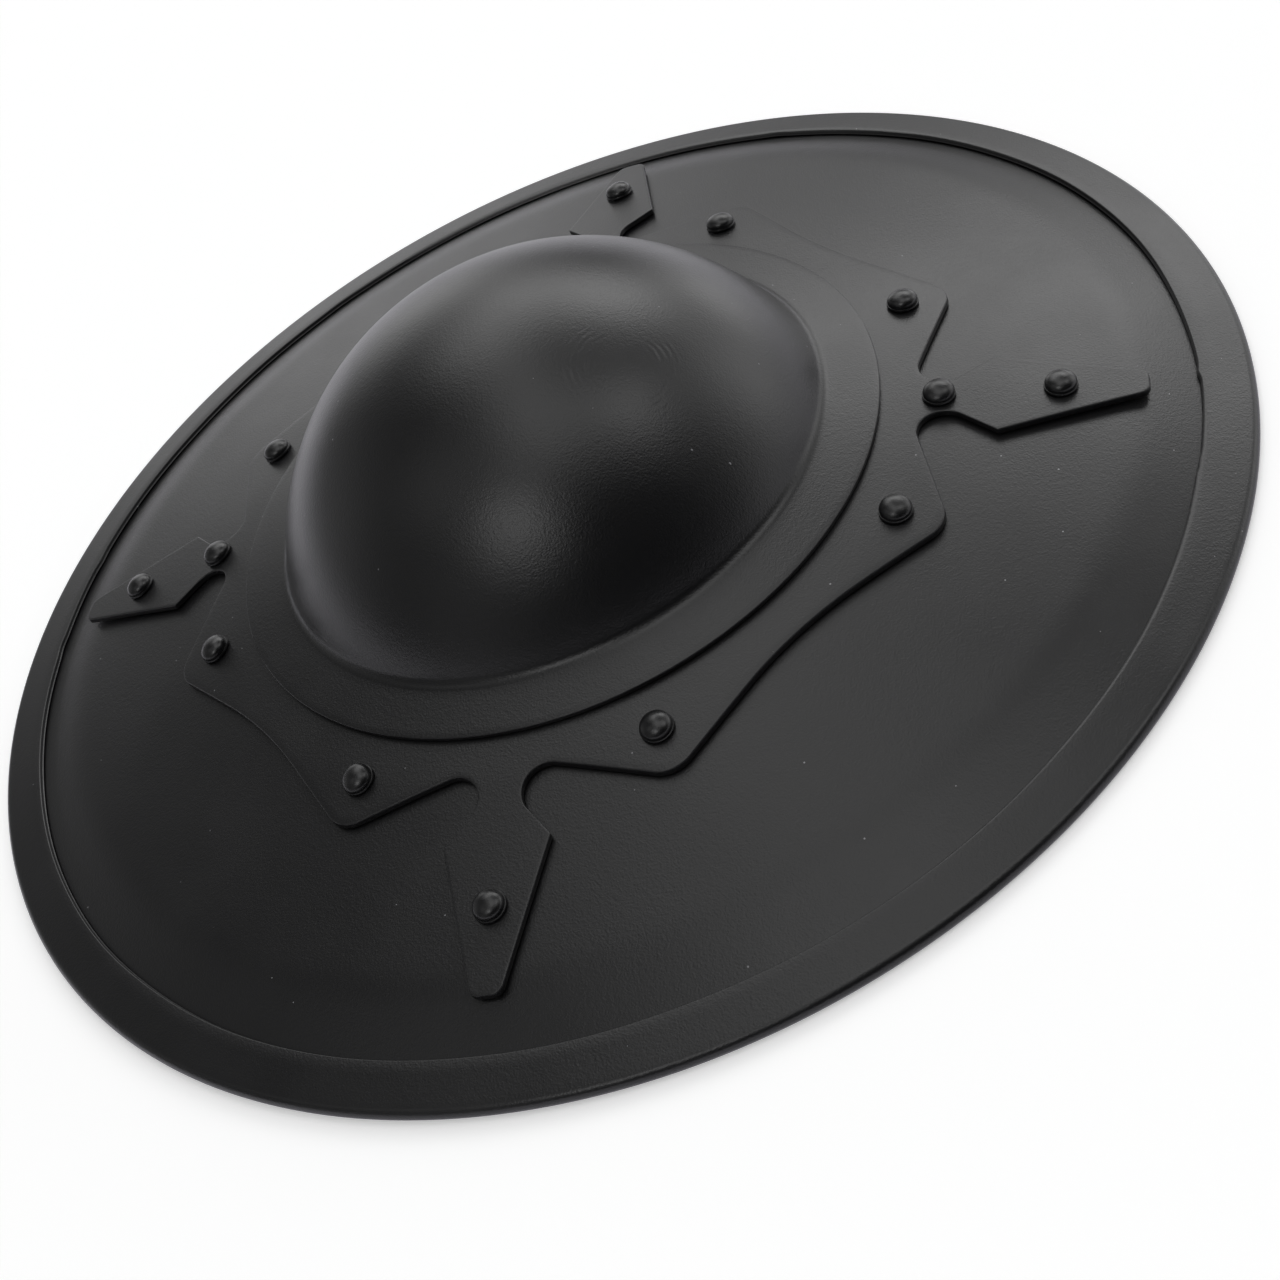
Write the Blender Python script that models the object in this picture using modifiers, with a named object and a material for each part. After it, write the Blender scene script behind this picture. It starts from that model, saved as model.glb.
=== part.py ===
"""Steel buckler lying boss up: a dished body whose edge is folded forward as a hem, a four-armed
cross plate riveted over it, a hollow domed boss on the plate, and a grip across the back.

The frame is metres, +Z up through the boss, +X along the arm over one end of the grip, and the
origin on the floor under the centre of the boss.
"""

import math

import bmesh
import bpy
import numpy as np

MM = 0.001

# Body: a cone of sheet that bends down to a steeper skirt and folds back over itself at the edge
SHIELD_RADIUS = 190 * MM
BODY_SHEET = 1.5 * MM
DISH_ANGLE = math.radians(11.3)
SKIRT_ANGLE = math.radians(20.5)
SKIRT_WIDTH = 20 * MM
DISH_BEND = 60 * MM
LAND_WIDTH = 2 * MM
LAND_BEND = 3 * MM
HEM_WIDTH = 13.6 * MM
FOLD_GAP = 1.4 * MM
LIP_GAP = 0.35 * MM

# Boss: a part sphere on a ring flange
BOSS_SHEET = 1.5 * MM
BOSS_RADIUS = 81 * MM
BOSS_HEIGHT = 54.6 * MM
BOSS_FILLET = 4 * MM
FLANGE_WIDTH = 15 * MM
OPENING_LEDGE = 3.5 * MM

# Cross plate: its places along an arm are counted outwards from the flange, its tip from the hem,
# and its neck rivets as a share of the way from the flange to the tip rivets
PLATE_SHEET = 1.8 * MM
NECK_RIVET_SHARE = 0.326
NECK_LEAD = 1.3 * MM
NECK_HALF_WIDTH = 6 * MM
NECK_ROUND = 7 * MM
NECK_TO_SHOULDER = 12.6 * MM
SHOULDER_HALF_WIDTH = 14.5 * MM
TIP_SETBACK = 12 * MM
TIP_HALF_WIDTH = 4.7 * MM
TIP_ROUND = 3 * MM
FLANGE_TO_LOBE_RIVET = 12.6 * MM
LOBE_ANGLE = math.radians(22.4)
LOBE_LEAD = 3 * MM
LOBE_ROUND = 8 * MM
FLANGE_TO_WAIST = 12 * MM
WAIST_ROUND = 150 * MM
WAIST_FULLEST = 0.9

# Rivets: pan heads with a low crown outside, peened tails inside
TIP_TO_TIP_RIVET = 22.1 * MM
SHANK_RADIUS = 2.5 * MM
HEAD_RADIUS = 4.5 * MM
HEAD_WALL = 1.9 * MM
HEAD_CROWN = 1.9 * MM
TAIL_RADIUS = 4 * MM
TAIL_HEIGHT = 1.8 * MM

# Grip: a strap with flat ends, round about the neck rivets, that thickens to an oval handle
# across the opening
STRAP_THICKNESS = 2.5 * MM
STRAP_HALF_WIDTH = 10 * MM
GRIP_DROP = 4 * MM
GRIP_RUNOUT = 26 * MM
GRIP_HALF_WIDTH = 12 * MM
GRIP_THICKNESS = 14 * MM
OVAL_POWER = 2.2
STRAP_POWER = 12
STRAP_END_TURN = math.radians(78)

# Fits between pieces that touch
SEAT_GAP = 0.3 * MM
HOLE_GAP = 0.3 * MM

# Points nearer than this are one point
WELD = 0.01 * MM

# Fineness of the round shapes
ARM_COUNT = 4
ROUND_STEPS = 48
RIVET_STEPS = 12
ARC_STEP = math.radians(26)
SHARP_ANGLE = math.radians(35)
CROWN_STEPS = 2
BEND_STEPS = 2
FOLD_STEPS = 5
DOME_STEPS = 6
FILLET_STEPS = 3
GRIP_SIDES = 12
RUNOUT_STEPS = 4
STRAP_END_STEPS = 3

# Radii that follow from the sizes above
RIM_HEIGHT = 2 * BODY_SHEET + FOLD_GAP
LAND_RADIUS = SHIELD_RADIUS - RIM_HEIGHT / 2 - LAND_WIDTH
LIP_RADIUS = SHIELD_RADIUS - HEM_WIDTH
FLANGE_RADIUS = BOSS_RADIUS + FLANGE_WIDTH
OPENING_RADIUS = BOSS_RADIUS - BOSS_SHEET - OPENING_LEDGE
LOBE_RIVET_RADIUS = FLANGE_RADIUS + FLANGE_TO_LOBE_RIVET
TIP_RADIUS = LIP_RADIUS - TIP_SETBACK
TIP_RIVET_RADIUS = TIP_RADIUS - TIP_TO_TIP_RIVET
NECK_RIVET_RADIUS = FLANGE_RADIUS + NECK_RIVET_SHARE * (TIP_RIVET_RADIUS - FLANGE_RADIUS)


def clear_scene():
    for item in list(bpy.data.objects):
        bpy.data.objects.remove(item)


def new_collection(name, hidden=False):
    collection = bpy.data.collections.new(name)
    collection.hide_render = hidden
    bpy.context.scene.collection.children.link(collection)
    return collection


def new_paint(name, colour, roughness):
    material = bpy.data.materials.new(name)
    material.use_nodes = True
    shader = material.node_tree.nodes["Principled BSDF"]
    shader.inputs["Base Color"].default_value = (*colour, 1)
    shader.inputs["Roughness"].default_value = roughness
    shader.inputs["Metallic"].default_value = 0
    return material


def new_object(name, mesh, collection, paint=None):
    item = bpy.data.objects.new(name, mesh)
    collection.objects.link(item)
    if paint:
        mesh.materials.append(paint)
    else:
        item.hide_render = True
        item.display_type = "WIRE"
    return item


def arc(centre, radius, start, stop, count):
    """Stations (r, z, heading) on an arc: the heading turns from start to stop, and the centre
    lies to the left of the path by the radius, or to its right where the radius is negative."""
    heading = np.linspace(start, stop, count + 1)
    r = centre[0] + radius * np.sin(heading)
    z = centre[1] - radius * np.cos(heading)
    return list(zip(r, z, heading))


def skirt_foot():
    """Radius and height of the body's middle surface where its skirt meets the bend to the land."""
    skirt_r = LAND_RADIUS - LAND_BEND * math.sin(SKIRT_ANGLE)
    skirt_z = BODY_SHEET / 2 + LAND_BEND * (1 - math.cos(SKIRT_ANGLE))
    return skirt_r, skirt_z


def skirt_height(r):
    """Height of the body's middle surface at radius r on the straight skirt."""
    skirt_r, skirt_z = skirt_foot()
    return skirt_z + (skirt_r - r) * math.tan(SKIRT_ANGLE)


def cone_end():
    """Radius and height of the body's middle surface where its cone ends and its bend begins."""
    skirt_r, skirt_z = skirt_foot()
    bend_r = skirt_r - SKIRT_WIDTH
    bend_z = skirt_z + SKIRT_WIDTH * math.tan(SKIRT_ANGLE)
    end_r = bend_r - DISH_BEND * (math.sin(SKIRT_ANGLE) - math.sin(DISH_ANGLE))
    end_z = bend_z + DISH_BEND * (math.cos(DISH_ANGLE) - math.cos(SKIRT_ANGLE))
    return end_r, end_z


def cone_height(r, offset):
    """Height at radius r of the cone that lies off the body's middle surface by the offset."""
    end_r, end_z = cone_end()
    return end_z + (end_r - r) * math.tan(DISH_ANGLE) + offset / math.cos(DISH_ANGLE)


def plate_offset():
    """Distance from the body's middle surface out to the cross plate's middle surface."""
    return BODY_SHEET / 2 + SEAT_GAP + PLATE_SHEET / 2


def flange_offset():
    """Distance from the body's middle surface out to the flange's middle surface."""
    return plate_offset() + PLATE_SHEET / 2 + SEAT_GAP + BOSS_SHEET / 2


def strap_offset():
    """Distance from the body's middle surface in to the strap's middle surface, below it."""
    return -(BODY_SHEET / 2 + SEAT_GAP + STRAP_THICKNESS / 2)


def body_path():
    """Middle line of the body's sheet from the opening out to the fold and back to the lip."""
    end_r, end_z = cone_end()
    path = [(OPENING_RADIUS, cone_height(OPENING_RADIUS, 0), -DISH_ANGLE)]
    bend_centre = (
        end_r - DISH_BEND * math.sin(DISH_ANGLE),
        end_z - DISH_BEND * math.cos(DISH_ANGLE),
    )
    path += arc(bend_centre, -DISH_BEND, -DISH_ANGLE, -SKIRT_ANGLE, BEND_STEPS)
    land_centre = (LAND_RADIUS, BODY_SHEET / 2 + LAND_BEND)
    path += arc(land_centre, LAND_BEND, -SKIRT_ANGLE, 0, 1)
    fold_centre = (LAND_RADIUS + LAND_WIDTH, RIM_HEIGHT / 2)
    fold_radius = (BODY_SHEET + FOLD_GAP) / 2
    lip_z = skirt_height(LIP_RADIUS) + (BODY_SHEET + LIP_GAP) / math.cos(SKIRT_ANGLE)
    reach_r = fold_centre[0] - LIP_RADIUS
    reach_z = fold_centre[1] - lip_z
    reach = math.hypot(reach_r, reach_z)
    hem_heading = math.pi + math.atan2(reach_z, reach_r) + math.asin(fold_radius / reach)
    path += arc(fold_centre, fold_radius, 0, hem_heading, FOLD_STEPS)
    path.append((LIP_RADIUS, lip_z, hem_heading))
    return path


def boss_path():
    """Middle line of the boss's sheet from the crown down over the fillet to the flange's edge."""
    base_z = cone_height(BOSS_RADIUS, flange_offset() + BOSS_SHEET / 2)
    sphere = (BOSS_RADIUS**2 + BOSS_HEIGHT**2) / (2 * BOSS_HEIGHT)
    centre_z = base_z + BOSS_HEIGHT - sphere
    middle = sphere - BOSS_SHEET / 2
    fillet = BOSS_FILLET + BOSS_SHEET / 2
    # The fillet's centre is a fillet radius off the sphere and off the flange's middle cone
    slope = math.tan(DISH_ANGLE)
    rise = cone_height(0, flange_offset() + fillet) - centre_z
    a = 1 + slope**2
    b = -2 * slope * rise
    c = rise**2 - (middle + fillet) ** 2
    fillet_r = (-b + math.sqrt(b * b - 4 * a * c)) / (2 * a)
    fillet_z = cone_height(fillet_r, flange_offset() + fillet)
    turn = math.atan2(fillet_r, fillet_z - centre_z)
    path = arc((0, centre_z), -middle, 0, -turn, DOME_STEPS)
    path += arc((fillet_r, fillet_z), fillet, -turn, -DISH_ANGLE, FILLET_STEPS)
    path.append((FLANGE_RADIUS, cone_height(FLANGE_RADIUS, flange_offset()), -DISH_ANGLE))
    return path


def plate_path():
    """Middle line of the cone that the cross plate is cut from, from the opening to past its tips."""
    radii = (OPENING_RADIUS, SHIELD_RADIUS)
    return [(r, cone_height(r, plate_offset()), -DISH_ANGLE) for r in radii]


def thicken(path, thickness):
    """Closed outline of a sheet that follows the path: its left side out, its right side back."""
    left = []
    right = []
    for r, z, heading in path:
        across = (-math.sin(heading) * thickness / 2, math.cos(heading) * thickness / 2)
        left.append((r + across[0], z + across[1]))
        right.append((r - across[0], z - across[1]))
    return left + right[::-1]


def add_turn(item, steps):
    """Turns an object's outline in the XZ plane once round Z."""
    screw = item.modifiers.new("turn", "SCREW")
    screw.steps = steps
    screw.render_steps = steps
    screw.use_merge_vertices = True
    screw.merge_threshold = WELD
    screw.use_smooth_shade = True


def turned(name, outline, steps, collection, paint):
    """Object turned about Z from an outline of (r, z) points, open along the axis if it meets it."""
    mesh = bpy.data.meshes.new(name)
    count = len(outline)
    edges = [(i, i + 1) for i in range(count - 1)]
    if outline[0][0] > 0:
        edges.append((count - 1, 0))
    mesh.from_pydata([(r, 0, z) for r, z in outline], edges, [])
    item = new_object(name, mesh, collection, paint)
    add_turn(item, steps)
    return item


def tangent_outline(circles):
    """Closed outline that runs round the circles in turn, joined by their common tangents.

    Each circle is (x, y, radius): positive to bulge out, negative to hollow in, 0 for a corner.
    """
    count = len(circles)
    normals = []
    for i in range(count):
        x, y, radius = circles[i]
        next_x, next_y, next_radius = circles[(i + 1) % count]
        gap = math.hypot(next_x - x, next_y - y)
        direction = math.atan2(next_y - y, next_x - x)
        normals.append(direction + math.acos((next_radius - radius) / gap))
    points = []
    for i in range(count):
        x, y, radius = circles[i]
        turn = math.remainder(normals[i] - normals[i - 1], math.tau)
        steps = max(1, math.ceil(abs(turn) / ARC_STEP)) if radius else 0
        for k in range(steps + 1):
            angle = normals[i - 1] + turn * k / max(steps, 1)
            points.append((x - radius * math.cos(angle), y - radius * math.sin(angle)))
    return points


def waist_round():
    """Radius of the hollow waist between two arms, limited so that it meets the lobes' rounds.

    A circle through the waist that touches a lobe's round has the radius
    (w^2 + p^2 - 2 w p cos b - a^2) / (2 (a + p cos b - w)), with the waist at w and the lobe's
    centre at p from the middle, b between them, and a the lobe's round.
    """
    waist = FLANGE_RADIUS + FLANGE_TO_WAIST
    lobe = LOBE_RIVET_RADIUS + LOBE_LEAD
    along = lobe * math.cos(math.pi / ARM_COUNT - LOBE_ANGLE)
    bulge = LOBE_ROUND + along - waist
    if bulge <= 0:
        return WAIST_ROUND
    touching = (waist**2 + lobe**2 - 2 * waist * along - LOBE_ROUND**2) / (2 * bulge)
    return min(WAIST_ROUND, WAIST_FULLEST * touching)


def arm_circles():
    """Circles round one side of an arm that points along +X, from its tip in to its waist."""
    neck = NECK_RIVET_RADIUS + NECK_LEAD
    lobe = LOBE_RIVET_RADIUS + LOBE_LEAD
    waist = FLANGE_RADIUS + FLANGE_TO_WAIST + waist_round()
    waist_angle = math.pi / ARM_COUNT
    return [
        (TIP_RADIUS - TIP_ROUND, TIP_HALF_WIDTH - TIP_ROUND, TIP_ROUND),
        (neck + NECK_TO_SHOULDER, SHOULDER_HALF_WIDTH, 0),
        (neck, NECK_HALF_WIDTH + NECK_ROUND, -NECK_ROUND),
        (lobe * math.cos(LOBE_ANGLE), lobe * math.sin(LOBE_ANGLE), LOBE_ROUND),
        (waist * math.cos(waist_angle), waist * math.sin(waist_angle), -waist_round()),
    ]


def plate_outline():
    """Outline of the cross plate, counter-clockwise, with each arm the same as the last."""
    side = arm_circles()
    other_side = [(x, -y, radius) for x, y, radius in side[:-1]]
    arm = other_side[::-1] + side
    circles = []
    for k in range(ARM_COUNT):
        turn = math.tau * k / ARM_COUNT
        for x, y, radius in arm:
            turned_x = x * math.cos(turn) - y * math.sin(turn)
            turned_y = x * math.sin(turn) + y * math.cos(turn)
            circles.append((turned_x, turned_y, radius))
    return tangent_outline(circles)


def outline_prism(name, outline, half_height, collection):
    """Upright prism over a flat outline, made as a filled curve and turned into a mesh."""
    curve = bpy.data.curves.new(name, "CURVE")
    curve.dimensions = "2D"
    curve.fill_mode = "BOTH"
    curve.extrude = half_height
    spline = curve.splines.new("POLY")
    spline.points.add(len(outline) - 1)
    spline.use_cyclic_u = True
    for point, (x, y) in zip(spline.points, outline):
        point.co = (x, y, 0, 1)
    guide = bpy.data.objects.new(name + "_curve", curve)
    collection.objects.link(guide)
    bpy.context.view_layer.update()
    graph = bpy.context.evaluated_depsgraph_get()
    mesh = bpy.data.meshes.new_from_object(guide.evaluated_get(graph))
    loose = bmesh.new()
    loose.from_mesh(mesh)
    bmesh.ops.remove_doubles(loose, verts=loose.verts, dist=WELD)
    bmesh.ops.recalc_face_normals(loose, faces=loose.faces)
    loose.to_mesh(mesh)
    loose.free()
    prism = new_object(name, mesh, collection)
    prism.matrix_world = guide.matrix_world.copy()
    bpy.data.objects.remove(guide)
    return prism


def add_boolean(item, operation, cutter=None, cutters=None):
    boolean = item.modifiers.new(operation.lower(), "BOOLEAN")
    boolean.operation = operation
    boolean.solver = "EXACT"
    if cutters:
        boolean.operand_type = "COLLECTION"
        boolean.collection = cutters
    else:
        boolean.object = cutter


def rivet_places():
    """(name, radius, azimuth, whether the grip is in the stack) of every rivet."""
    places = []
    for k in range(ARM_COUNT):
        azimuth = math.tau * k / ARM_COUNT
        places.append((f"tip_rivet_{k + 1}", TIP_RIVET_RADIUS, azimuth, False))
        for side in (0, 1):
            lobe_azimuth = azimuth + (2 * side - 1) * LOBE_ANGLE
            name = f"lobe_rivet_{2 * k + side + 1}"
            places.append((name, LOBE_RIVET_RADIUS, lobe_azimuth, False))
    for k in (0, 1):
        places.append((f"neck_rivet_{k + 1}", NECK_RIVET_RADIUS, math.pi * k, True))
    return places


def stack_depth(with_grip):
    """Depth from the cross plate's outer face to the inner face of what a rivet holds."""
    depth = PLATE_SHEET + SEAT_GAP + BODY_SHEET
    if with_grip:
        depth += SEAT_GAP + STRAP_THICKNESS
    return depth


def place_on_cone(item, radius, azimuth):
    """Puts an object's origin on the cross plate's outer face with its +Z square to that face."""
    height = cone_height(radius, plate_offset() + PLATE_SHEET / 2)
    item.location = (radius * math.cos(azimuth), radius * math.sin(azimuth), height)
    item.rotation_euler = (0, DISH_ANGLE, azimuth)


def crown(radius, base_z, height):
    """Quarter ellipse of (r, z) points from the axis out to its foot at the radius."""
    angle = np.linspace(0, math.pi / 2, CROWN_STEPS + 1)
    points = list(zip(radius * np.sin(angle), base_z + height * np.cos(angle)))
    return [(0, base_z + height)] + points[1:]


def rivet_outline(with_grip):
    """Outline of a rivet from the crown of its head down to the crown of its tail."""
    tail_z = -stack_depth(with_grip) - SEAT_GAP
    head = crown(HEAD_RADIUS, SEAT_GAP + HEAD_WALL, HEAD_CROWN)
    shank = [(HEAD_RADIUS, SEAT_GAP), (SHANK_RADIUS, SEAT_GAP), (SHANK_RADIUS, tail_z)]
    tail = crown(TAIL_RADIUS, tail_z, -TAIL_HEIGHT)
    return head + shank + tail[::-1]


def add_rivets(collection, paint):
    """The rivets, which share one mesh for each depth of stack."""
    meshes = {}
    for name, radius, azimuth, with_grip in rivet_places():
        if with_grip in meshes:
            item = bpy.data.objects.new(name, meshes[with_grip])
            collection.objects.link(item)
            add_turn(item, RIVET_STEPS)
        else:
            item = turned(name, rivet_outline(with_grip), RIVET_STEPS, collection, paint)
            meshes[with_grip] = item.data
        place_on_cone(item, radius, azimuth)


def add_hole_cutters(collection):
    """One cylinder for each rivet, which reaches well past both ends of the deepest stack."""
    hole_radius = SHANK_RADIUS + HOLE_GAP
    length = 4 * stack_depth(True)
    for name, radius, azimuth, _ in rivet_places():
        mesh = bpy.data.meshes.new(name + "_hole")
        shape = bmesh.new()
        bmesh.ops.create_cone(
            shape,
            cap_ends=True,
            segments=RIVET_STEPS,
            radius1=hole_radius,
            radius2=hole_radius,
            depth=length,
        )
        shape.to_mesh(mesh)
        shape.free()
        place_on_cone(new_object(name + "_hole", mesh, collection), radius, azimuth)


def smoothstep(value):
    value = np.clip(value, 0, 1)
    return value * value * (3 - 2 * value)


def signed_power(value, power):
    return np.sign(value) * np.abs(value) ** power


def grip_points():
    """Sections along X of flat strap ends that swell into an oval across the opening.

    Each section is |y / w|^n + |h / t|^n = 1, where the power n is high on the flat ends and low
    on the oval, and the half sizes w and t blend with it. A strap's end is a half round about
    its rivet.
    """
    turn = np.linspace(0, STRAP_END_TURN, STRAP_END_STEPS + 1)
    runout = np.linspace(OPENING_RADIUS - GRIP_RUNOUT, OPENING_RADIUS, RUNOUT_STEPS + 1)
    reach = np.concatenate((runout, NECK_RIVET_RADIUS + STRAP_HALF_WIDTH * np.sin(turn)))
    narrowing = np.concatenate((np.ones(len(runout)), np.cos(turn)))
    flat = smoothstep((reach - OPENING_RADIUS + GRIP_RUNOUT) / GRIP_RUNOUT)
    strap_z = cone_height(reach, strap_offset())
    grip_z = cone_height(OPENING_RADIUS, strap_offset()) - GRIP_DROP
    centre_z = grip_z + (strap_z - grip_z) * flat
    pitch = -DISH_ANGLE * flat
    half_width = (GRIP_HALF_WIDTH + (STRAP_HALF_WIDTH - GRIP_HALF_WIDTH) * flat) * narrowing
    half_depth = (GRIP_THICKNESS + (STRAP_THICKNESS - GRIP_THICKNESS) * flat) / 2
    power = (OVAL_POWER + (STRAP_POWER - OVAL_POWER) * flat)[:, None]
    angle = math.tau * (np.arange(GRIP_SIDES) + 0.5) / GRIP_SIDES
    depth = signed_power(np.sin(angle), 2 / power) * half_depth[:, None]
    x = reach[:, None] - depth * np.sin(pitch)[:, None]
    y = signed_power(np.cos(angle), 2 / power) * half_width[:, None]
    z = centre_z[:, None] + depth * np.cos(pitch)[:, None]
    half = np.stack((x, y, z), axis=-1)
    return np.concatenate((half[::-1] * (-1, 1, 1), half))


def grip_mesh():
    """Skin over the grip's sections, with a flat face at each end."""
    sections = grip_points()
    points = sections.reshape(-1, 3)
    faces = []
    for i in range(len(sections) - 1):
        for k in range(GRIP_SIDES):
            near = i * GRIP_SIDES + k
            beside = i * GRIP_SIDES + (k + 1) % GRIP_SIDES
            faces.append((near, beside, beside + GRIP_SIDES, near + GRIP_SIDES))
    faces.append(tuple(range(GRIP_SIDES))[::-1])
    faces.append(tuple(range(len(points) - GRIP_SIDES, len(points))))
    mesh = bpy.data.meshes.new("grip")
    mesh.from_pydata(points.tolist(), [], faces)
    shape = bmesh.new()
    shape.from_mesh(mesh)
    bmesh.ops.recalc_face_normals(shape, faces=shape.faces)
    shape.to_mesh(mesh)
    shape.free()
    return mesh


def add_body(collection, cutters, paint):
    item = turned("shield_body", thicken(body_path(), BODY_SHEET), ROUND_STEPS, collection, paint)
    add_boolean(item, "DIFFERENCE", cutters=cutters)


def add_cross_plate(collection, prisms, cutters, paint):
    item = turned("cross_plate", thicken(plate_path(), PLATE_SHEET), ROUND_STEPS, collection, paint)
    half_height = cone_height(0, plate_offset() + PLATE_SHEET)
    prism = outline_prism("plate_outline", plate_outline(), half_height, prisms)
    add_boolean(item, "INTERSECT", cutter=prism)
    add_boolean(item, "DIFFERENCE", cutters=cutters)


def add_boss(collection, paint):
    turned("boss", thicken(boss_path(), BOSS_SHEET), ROUND_STEPS, collection, paint)


def add_grip(collection, cutters, paint):
    item = new_object("grip", grip_mesh(), collection, paint)
    item.data.shade_smooth()
    item.data.set_sharp_from_angle(angle=SHARP_ANGLE)
    add_boolean(item, "DIFFERENCE", cutters=cutters)


def main():
    clear_scene()
    shield = new_collection("buckler")
    prisms = new_collection("outlines", hidden=True)
    holes = new_collection("rivet_holes", hidden=True)
    add_hole_cutters(holes)
    black = (0.012, 0.012, 0.014)
    add_body(shield, holes, new_paint("body_paint", black, 0.42))
    add_cross_plate(shield, prisms, holes, new_paint("plate_paint", black, 0.42))
    add_boss(shield, new_paint("boss_paint", black, 0.32))
    add_rivets(shield, new_paint("rivet_paint", black, 0.3))
    add_grip(shield, holes, new_paint("grip_paint", (0.016, 0.016, 0.017), 0.5))


main()
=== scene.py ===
"""Black steel buckler, dressed: a folded and dished body, a riveted cross plate, a spun boss and a
grip, all in satin black paint, lying on a pale floor under soft studio light."""

import math

import bpy
import numpy as np
from mathutils import Matrix, Quaternion, Vector


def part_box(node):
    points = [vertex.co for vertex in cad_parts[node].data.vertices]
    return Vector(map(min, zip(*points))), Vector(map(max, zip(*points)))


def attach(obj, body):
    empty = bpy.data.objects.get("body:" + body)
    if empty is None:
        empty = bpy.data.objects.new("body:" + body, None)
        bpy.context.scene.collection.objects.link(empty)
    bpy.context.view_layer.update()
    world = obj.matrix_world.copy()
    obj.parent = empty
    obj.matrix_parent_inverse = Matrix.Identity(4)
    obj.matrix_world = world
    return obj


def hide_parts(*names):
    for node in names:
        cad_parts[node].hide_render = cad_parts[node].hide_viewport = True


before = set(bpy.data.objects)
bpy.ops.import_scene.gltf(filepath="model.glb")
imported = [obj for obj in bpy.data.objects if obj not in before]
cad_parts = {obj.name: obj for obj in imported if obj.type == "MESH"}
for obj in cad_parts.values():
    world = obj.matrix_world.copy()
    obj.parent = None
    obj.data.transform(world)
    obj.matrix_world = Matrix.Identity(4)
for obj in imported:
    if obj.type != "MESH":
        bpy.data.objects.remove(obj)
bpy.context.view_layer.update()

MM = 0.001


def half_width(node):
    """Half of a node's extent along X."""
    low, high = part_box(node)
    return (high[0] - low[0]) / 2


# Body: a cone of sheet that bends down to a steeper skirt and folds back over itself at the edge
SHIELD_RADIUS = half_width("shield_body")
BODY_SHEET = 1.5 * MM
DISH_ANGLE = math.radians(11.3)
SKIRT_ANGLE = math.radians(20.5)
SKIRT_WIDTH = 20 * MM
DISH_BEND = 60 * MM
LAND_WIDTH = 2 * MM
LAND_BEND = 3 * MM
HEM_WIDTH = 13.6 * MM
FOLD_GAP = 1.4 * MM
LIP_GAP = 0.28 * MM
LIP_ROLL = 1.6 * MM
LIP_BEATEN = 3.0 * MM

# Boss
BOSS_SHEET = 1.5 * MM
BOSS_RADIUS = 81 * MM
BOSS_HEIGHT = 54.6 * MM
BOSS_FILLET = 4 * MM
FLANGE_WIDTH = 15 * MM
OPENING_LEDGE = 3.5 * MM

# Cross plate
PLATE_SHEET = 1.8 * MM
NECK_RIVET_SHARE = 0.326
NECK_LEAD = 1.3 * MM
NECK_HALF_WIDTH = 6 * MM
NECK_ROUND = 7 * MM
NECK_TO_SHOULDER = 12.6 * MM
SHOULDER_HALF_WIDTH = 14.5 * MM
SHOULDER_ROUND = 0.5 * MM
TIP_SETBACK = 12 * MM
TIP_HALF_WIDTH = 4.7 * MM
TIP_ROUND = 3 * MM
SPINE_SETBACKS = (4 * MM, 6 * MM)
FLANGE_TO_LOBE_RIVET = 12.6 * MM
LOBE_ANGLE = math.radians(22.4)
LOBE_LEAD = 3 * MM
LOBE_SPREAD = 0.15
LOBE_ROUND = 9.2 * MM
FLANGE_TO_WAIST = 12 * MM
WAIST_ROUND = 150 * MM
EDGE_LIFT = 0.2 * MM
EDGE_LIFT_REACH = 14 * MM

# How each arm of the cross plate differs, from the one along +X on
TIP_LIFTS = (0.5 * MM, 0.2 * MM, 0.3 * MM, 0.25 * MM)
SHOULDER_SHIFTS = (1.5 * MM, 0.4 * MM, 0, 0.5 * MM)

# Rivets
TIP_TO_TIP_RIVET = 22.1 * MM
SHANK_RADIUS = 2.5 * MM
HEAD_RADIUS = 4.5 * MM
HEAD_HEIGHT = 3.8 * MM
HEAD_CROWN = 2.7 * MM
COLLAR_HEIGHT = 0.55 * MM
COLLAR_STEP = 0.22 * MM
SNAP_LEAN = 0.3 * MM
SNAP_DEPTH = 0.05 * MM
SNAP_LENGTHS = (6.1 * MM, 4.3 * MM)
SNAP_SEED = 23
TAIL_RADIUS = 4 * MM
TAIL_HEIGHT = 1.8 * MM

# Grip
STRAP_THICKNESS = 2.5 * MM
STRAP_HALF_WIDTH = 10 * MM
GRIP_DROP = 4 * MM
GRIP_RUNOUT = 26 * MM
GRIP_HALF_WIDTH = 12 * MM
GRIP_THICKNESS = 14 * MM
OVAL_POWER = 2.2
STRAP_POWER = 12

SEAT_GAP = 0.3 * MM
EDGE_ROUND = 0.35 * MM
ROUND_STEPS = 6
WELD = 0.002 * MM

# Fineness
ARM_COUNT = 4
AROUND_BODY = 640
AROUND_BOSS = 512
AROUND_RIVET = 72
AROUND_GRIP = 64
PLATE_STEPS = 18
ARC_STEPS = (10, 6, 26, 20, 26)
LEG_STEPS = (3, 26, 12, 20, 6)
CONE_STEPS = 22
BEND_STEPS = 5
SKIRT_STEPS = 5
LAND_STEPS = 4
FOLD_STEPS = 16
HEM_STEPS = 6
DOME_STEPS = 60
FILLET_STEPS = 8
FLANGE_STEPS = 6
HEAD_STEPS = 20
TAIL_STEPS = 12
HELD_STEPS = 25
SWELL_STEPS = 29
STRAP_STEPS = 11
STRAP_END_STEPS = 13
SHARP_ANGLE = math.radians(40)

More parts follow.
